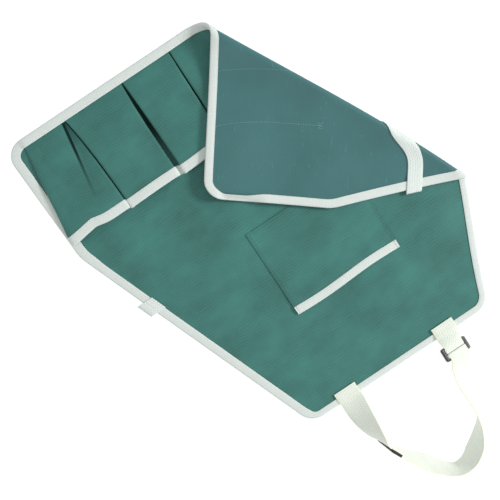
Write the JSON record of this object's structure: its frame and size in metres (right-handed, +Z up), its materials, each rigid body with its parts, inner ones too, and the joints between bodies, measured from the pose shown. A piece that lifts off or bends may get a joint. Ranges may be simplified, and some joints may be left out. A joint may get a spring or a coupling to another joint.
{
  "type": "gardening work apron",
  "caption": "Bib work apron of green coated cloth with pockets along the hem, a bib pocket, pale bound edges, a neck loop with sliders and a waist belt, lying with one side folded over.",
  "frame": {"origin": "middle of the bounding box's bottom face, on the surface the apron lies on", "axes": "+Y from the hem to the bib's top and the neck loop, +Z up from the surface, +X to the side that isn't folded"},
  "size_m": [0.5812, 0.8156, 0.0507],
  "materials": {
    "cloth": "fine woven face, thinly coated",
    "tape": "fine ribbed binding tape, matt",
    "webbing": "flat woven webbing, matt",
    "slider": "moulded, satin"
  },
  "bodies": {
    "root": {"apron_panel": "cloth", "hem_tape": "tape", "right_tape": "tape", "bib_tape": "tape", "left_tape": "tape", "pocket_panel": "cloth", "pocket_mouth_tape": "tape", "bib_pocket": "cloth", "bib_pocket_tape": "tape", "waist_belt": "webbing", "neck_strap": "webbing", "neck_slider_left": "slider", "neck_slider_right": "slider"}
  },
  "joints": []
}
